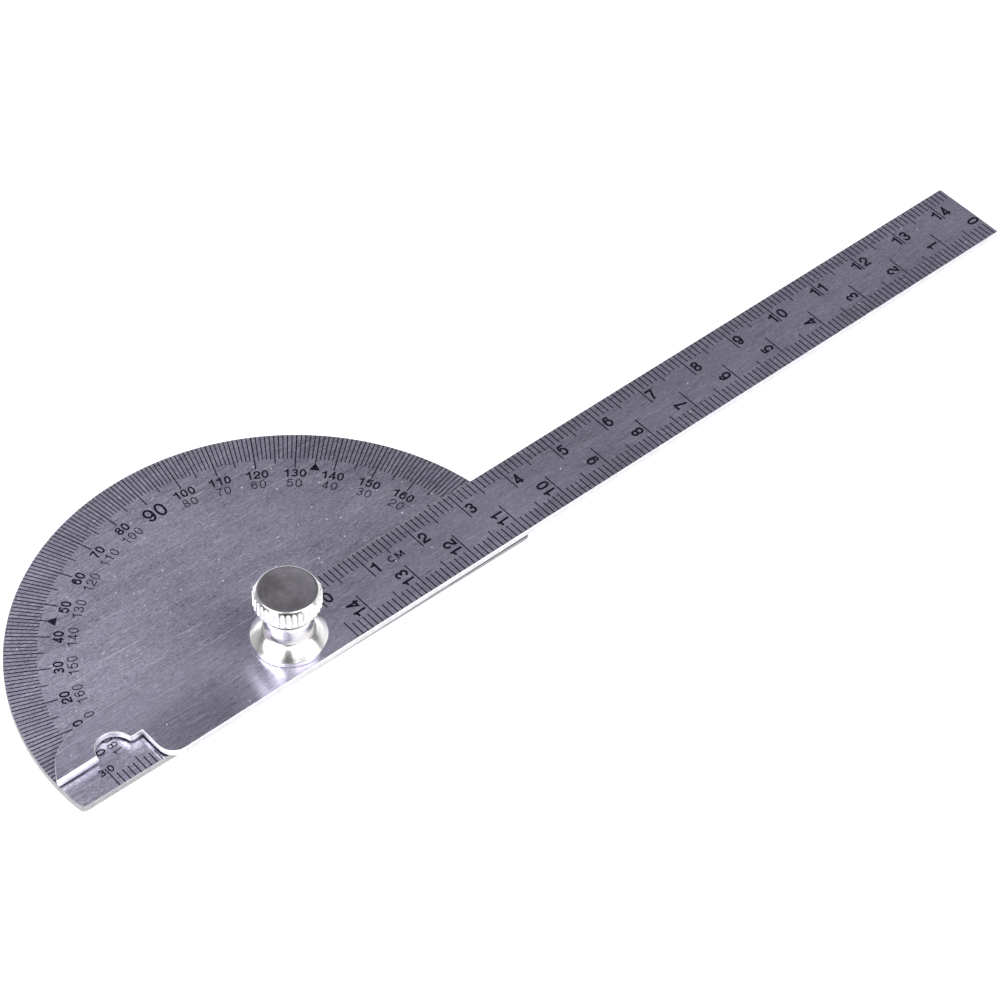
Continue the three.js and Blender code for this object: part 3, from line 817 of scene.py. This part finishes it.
nums = Marks(ARM_TOP - INK_IN, ARM_TOP + INK_OUT, on_rule)
UPPER = [(1.30, 2.77), (11.16, 2.70), (21.16, 2.69), (31.22, 2.66), (41.19, 2.68), (51.17, 2.70), (61.23, 2.74),
         (71.09, 2.74), (81.3, 2.71), (91.1, 2.71)]
FW, FH, FS = 1.46, 2.30, 0.40
for n, (s, v) in enumerate(UPPER):
    nums.text(str(n), (s, v), 90, FW, FH, FS)
for n, first, second in ((10, -0.80, 1.35), (11, -0.80, 1.07), (12, -0.78, 1.32), (13, -0.78, 1.25), (14, -0.88, 1.20)):
    nums.text("1", (n * 10.0 + first, 2.62), 90, FW, FH, FS)
    nums.text(str(n)[1], (n * 10.0 + second, 2.62), 90, FW, FH, FS)
nums.text("C", (14.26, 2.50), 90, 1.12, 1.30, 0.25)
nums.text("M", (15.95, 2.50), 90, 1.42, 1.33, 0.25)
LOWER = [(143.34, -2.33), (133.28, -2.27), (123.41, -2.20), (113.46, -2.23), (103.55, -2.06), (93.44, -2.05),
         (83.47, -2.07), (73.21, -2.20), (63.45, -2.12), (53.43, -2.21)]
for n, (s, v) in enumerate(LOWER):
    nums.text(str(n), (s, v), 180, FW, FH, FS)
for n in range(10, 15):
    s = 145.0 - n * 10.0 - 1.60
    nums.text(str(n)[1], (s, -1.315 if n == 11 else -1.075), 180, FW, FH, FS)
    nums.text("1", (s + 0.02, -2.955), 180, FW, FH, FS)
nums.done("rule_figures", "arm", "rule_steel")

# ---- flanged washer ------------------------------------------------------------------------------

z = FLANGE_Z
cone = []
for i in range(13):                     # a slightly convex cone, steeper towards the rim
    t = i / 12
    slope = math.radians(46.0 - 8.0 * t)
    if i == 0:
        cone.append((6.05, z + 1.1, 0.0))
    else:
        r0, z0, _ = cone[-1]
        step = (6.05 - 4.28) / 12
        cone.append((r0 - step, z0 + step * math.tan(slope), 0.0))
lift = (SEAT_Z - 0.05 - cone[0][1]) / (cone[-1][1] - cone[0][1])
cone = [(r, z + 1.1 + (h - z - 1.1) * lift, 0.0) for r, h, _ in cone]
profile = rounded([(2.2, z + 0.4), (2.2, z), (6.08, z), (6.18, z + 0.1), (6.18, z + 0.98), *cone,
                   (4.2, SEAT_Z), (2.2, SEAT_Z), (2.2, z + 0.4)], 0.05)
verts, faces = lathe(profile, 192)
flange = shown("flange_turned", verts, faces, "washer", [FLANGE], replaces=["flanged_washer"])
crisp(flange, 25)

# ---- thumb nut -----------------------------------------------------------------------------------

TEETH, FIRST = 36, 229.0
KNURL_R, FLUTE = 5.48, 0.37
KNURL_TOP, CROWN_R, CROWN_Z = (5.48, 13.69), 4.88, 14.335


def flute(t):
    """Radius across one flute, a round-bottomed groove from crest (0) to crest (1)."""
    half = KNURL_R * math.pi / TEETH
    bend = (half * half + FLUTE * FLUTE) / (2 * FLUTE)
    x = (2 * t - 1) * half
    return KNURL_R - (math.sqrt(bend * bend - x * x) - (bend - FLUTE))


def thumb_nut():
    lower = rounded([(0, 13.0), (2.12, 11.9), (2.12, NUT_Z), (3.87, NUT_Z), (4.07, NUT_Z + 0.2), (4.07, 8.6, 0.02),
                     (4.3, 8.7, 0.08), (4.3, 9.62, 0.2), (4.12, 9.85, 0.02), (4.42, 10.05, 0.1), (4.42, 11.05), (5.05, 11.05)], 0.05)
    upper = [(4.85, 14.36), (4.80, 14.39), (4.72, 14.415), (4.63, 14.428), (4.55, 14.43), (4.3, 14.42), (3.6, 14.385),
             (2.6, 14.345), (1.5, 14.31), (0.7, 14.295), (0, 14.29)]
    per = 18
    n = TEETH * per
    columns = []
    for i in range(n):
        star = flute((i % per) / per)
        low = (star, 11.05 + (star - 5.05) * 0.40 / 0.43)
        high = (star, KNURL_TOP[1] + (KNURL_R - star) * (CROWN_Z - KNURL_TOP[1]) / (KNURL_R - CROWN_R))
        body = [low] + [(star, low[1] + (high[1] - low[1]) * q / 4) for q in (1, 2, 3)] + [high]
        slope = [(star + (CROWN_R - star) * q / 4, high[1] + (CROWN_Z - high[1]) * q / 4) for q in (1, 2, 3, 4)]
        a = math.radians(FIRST) + TAU * i / n
        columns.append([(r * math.cos(a), r * math.sin(a), z) for r, z in lower[1:] + body + slope + upper[:-1]])
    rows = len(columns[0])
    verts = [p for col in columns for p in col]
    inner, top = len(verts), len(verts) + 1
    verts += [(0, 0, lower[0][1]), (0, 0, upper[-1][1])]
    faces, which = [], []
    crown = rows - 8                    # the lip outside this is turned like the side
    for i in range(n):
        a, b = i * rows, ((i + 1) % n) * rows
        for j in range(rows - 1):
            faces.append((a + j, b + j, b + j + 1, a + j + 1))
            which.append(1 if j >= crown else 0)
        faces.append((inner, b, a))
        which.append(0)
        faces.append((a + rows - 1, b + rows - 1, top))
        which.append(1)
    return verts, faces, which


verts, faces, which = thumb_nut()
nut = shown("knurled_nut", verts, faces, "nut", [NUT_SIDE, NUT_TOP], indices=which, replaces=["thumb_nut"])
crisp(nut, 24)

# ---- carried-over pieces -------------------------------------------------------------------------

for node, material in (("shoulder_screw", SCREW), ("friction_washer", SPRING)):
    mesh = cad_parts[node].data
    mesh.materials.clear()
    mesh.materials.append(material)

# ---- floor, light and camera ---------------------------------------------------------------------

floor_mat, nt, bsdf, coords = begin("pale_floor")
soft = noise(nt, coords, 9.0, 2.0)
nt.links.new(blend_color(nt, soft, rgba(0.30, 0.30, 0.303), rgba(0.33, 0.33, 0.333)), bsdf.inputs["Base Color"])
bsdf.inputs["Roughness"].default_value = 0.9
bsdf.inputs["Specular IOR Level"].default_value = 0.0
bsdf.inputs["Emission Color"].default_value = (1.0, 1.0, 1.0, 1.0)
bsdf.inputs["Emission Strength"].default_value = 0.82
mesh = bpy.data.meshes.new("floor")
mesh.from_pydata([(-3, -3, -0.00008), (3, -3, -0.00008), (3, 3, -0.00008), (-3, 3, -0.00008)], [], [(0, 1, 2, 3)])
mesh.materials.append(floor_mat)
floor = bpy.data.objects.new("floor", mesh)
bpy.context.scene.collection.objects.link(floor)

world = bpy.data.worlds.new("studio")
bpy.context.scene.world = world
world.use_nodes = True
nt = world.node_tree
nt.nodes.clear()
out = nt.nodes.new("ShaderNodeOutputWorld")
back = nt.nodes.new("ShaderNodeBackground")
nt.links.new(back.outputs[0], out.inputs[0])
ray = nd(nt, "ShaderNodeVectorMath", {0: nt.nodes.new("ShaderNodeTexCoord").outputs["Generated"]}, operation="NORMALIZE").outputs[0]


def lobe(direction, inner, outer):
    """1 within inner degrees of a direction, falling to 0 at outer degrees."""
    d = Vector(direction).normalized()
    dot = nd(nt, "ShaderNodeVectorMath", {0: ray, 1: tuple(d)}, operation="DOT_PRODUCT").outputs["Value"]
    return fit(nt, dot, math.cos(math.radians(outer)), math.cos(math.radians(inner)), 0.0, 1.0, True)


def heading(degrees, elevation):
    a, e = math.radians(degrees), math.radians(elevation)
    return (math.cos(a) * math.cos(e), math.sin(a) * math.cos(e), math.sin(e))


def sector(degrees, inner, outer, e0, e1, e2, e3):
    """1 within inner degrees of a compass direction, and between elevations e1 and e2."""
    level_ray = nd(nt, "ShaderNodeVectorMath", {0: nd(nt, "ShaderNodeVectorMath", {0: ray, 1: (1.0, 1.0, 0.0)}, operation="MULTIPLY").outputs[0]},
                   operation="NORMALIZE").outputs[0]
    dot = nd(nt, "ShaderNodeVectorMath", {0: level_ray, 1: heading(degrees, 0)}, operation="DOT_PRODUCT").outputs["Value"]
    across = fit(nt, dot, math.cos(math.radians(outer)), math.cos(math.radians(inner)), 0.0, 1.0, True)
    up = nd(nt, "ShaderNodeSeparateXYZ", {0: ray}).outputs[2]
    s = lambda e: math.sin(math.radians(e))
    band = math_(nt, "MULTIPLY", fit(nt, up, s(e0), s(e1), 0.0, 1.0, True), fit(nt, up, s(e2), s(e3), 1.0, 0.0, True))
    return math_(nt, "MULTIPLY", across, band)


def toward(value, target, mask):
    """value, brought to target where the mask is 1."""
    return math_(nt, "ADD", math_(nt, "MULTIPLY", value, math_(nt, "SUBTRACT", 1.0, mask)), math_(nt, "MULTIPLY", mask, target))


sideways, _, upward = nd(nt, "ShaderNodeSeparateXYZ", {0: ray}).outputs
high = fit(nt, upward, 0.22, 0.42, 0.0, 1.0, True)
right_half = math_(nt, "MULTIPLY", high, fit(nt, sideways, 0.24, 0.46, 0.0, 1.0, True))
level = math_(nt, "SUBTRACT", 1.20, math_(nt, "MULTIPLY", right_half, 0.92))
level = toward(level, 0.60, sector(114, 18, 36, -18, -8, 24, 40))         # a dim corner on the left, low down
level = toward(level, 0.40, sector(229, 74, 94, -3, 3, 40, 43))           # dark room in front
level = toward(level, 5.0, sector(229, 76, 92, 40, 44, 64, 76))           # soft boxes over it
left_half = math_(nt, "MULTIPLY", high, fit(nt, sideways, -0.22, 0.14, 1.0, 0.0, True))
level = math_(nt, "MULTIPLY", level, math_(nt, "SUBTRACT", 1.0, math_(nt, "MULTIPLY", left_half, 0.70)))
level = toward(level, 6.0, sector(229, 58, 74, 40, 44, 54, 62))           # the lamps that the flange shows
level = toward(level, 8.0, sector(170, 21, 34, 28, 35, 54, 62))
far = lobe(heading(49, 49), 30, 54)
tent = math_(nt, "ADD", 0.208, math_(nt, "MULTIPLY", fit(nt, sideways, 0.29, 0.40, 1.0, 0.0, True), 0.37))
tent = math_(nt, "ADD", tent, math_(nt, "MULTIPLY", fit(nt, sideways, 0.455, 0.58, 0.0, 1.0, True), 0.10))
level = math_(nt, "ADD", math_(nt, "MULTIPLY", level, math_(nt, "SUBTRACT", 1.0, far)), math_(nt, "MULTIPLY", far, tent))
level = toward(level, 2.2, sector(56, 34, 52, -12, -6, 8, 16))            # bright strip along the back, low down
level = toward(level, 0.12, sector(229, 8, 27, -20, -8, 50, 60))          # the slit at the front
level = toward(level, 5.0, lobe(heading(301, 32), 9, 20))                 # lamp on the right
nt.links.new(blend_color(nt, far, rgba(1.0, 1.0, 1.0), rgba(0.96, 0.94, 1.0)), back.inputs[0])
nt.links.new(level, back.inputs[1])


def area(name, where, to, size, watts, glossy=True):
    light = bpy.data.lights.new(name, "AREA")
    light.shape = "RECTANGLE"
    light.size, light.size_y = size
    light.energy = watts
    obj = bpy.data.objects.new(name, light)
    bpy.context.scene.collection.objects.link(obj)
    obj.location = where
    obj.rotation_euler = (Vector(to) - Vector(where)).to_track_quat("-Z", "Y").to_euler()
    obj.visible_glossy = glossy
    obj.visible_camera = False
    return obj


area("overhead", (0.05, 0.05, 1.3), (0.05, 0.0, 0.0), (1.6, 1.6), 9.0, glossy=False)

camera = bpy.data.cameras.new("camera")
camera.sensor_fit = "HORIZONTAL"
camera.sensor_width = 36.0
camera.lens = 3510.654 / 1000 * 36.0
camera.clip_start, camera.clip_end = 0.01, 20.0
cam = bpy.data.objects.new("camera", camera)
bpy.context.scene.collection.objects.link(cam)
right = Vector((0.76586103, -0.64282240, 0.01536487))
down = Vector((-0.46635063, -0.57174574, -0.67499918))
ahead = Vector((0.44268949, 0.50979015, -0.73765848))
where = Vector((-208.50, -289.78, 424.29)) * MM
cam.matrix_world = Matrix(((right.x, -down.x, -ahead.x, where.x), (right.y, -down.y, -ahead.y, where.y),
                           (right.z, -down.z, -ahead.z, where.z), (0, 0, 0, 1)))
bpy.context.scene.camera = cam
bpy.context.scene.view_settings.view_transform = "Standard"
bpy.context.scene.view_settings.look = "None"

bpy.context.view_layer.update()
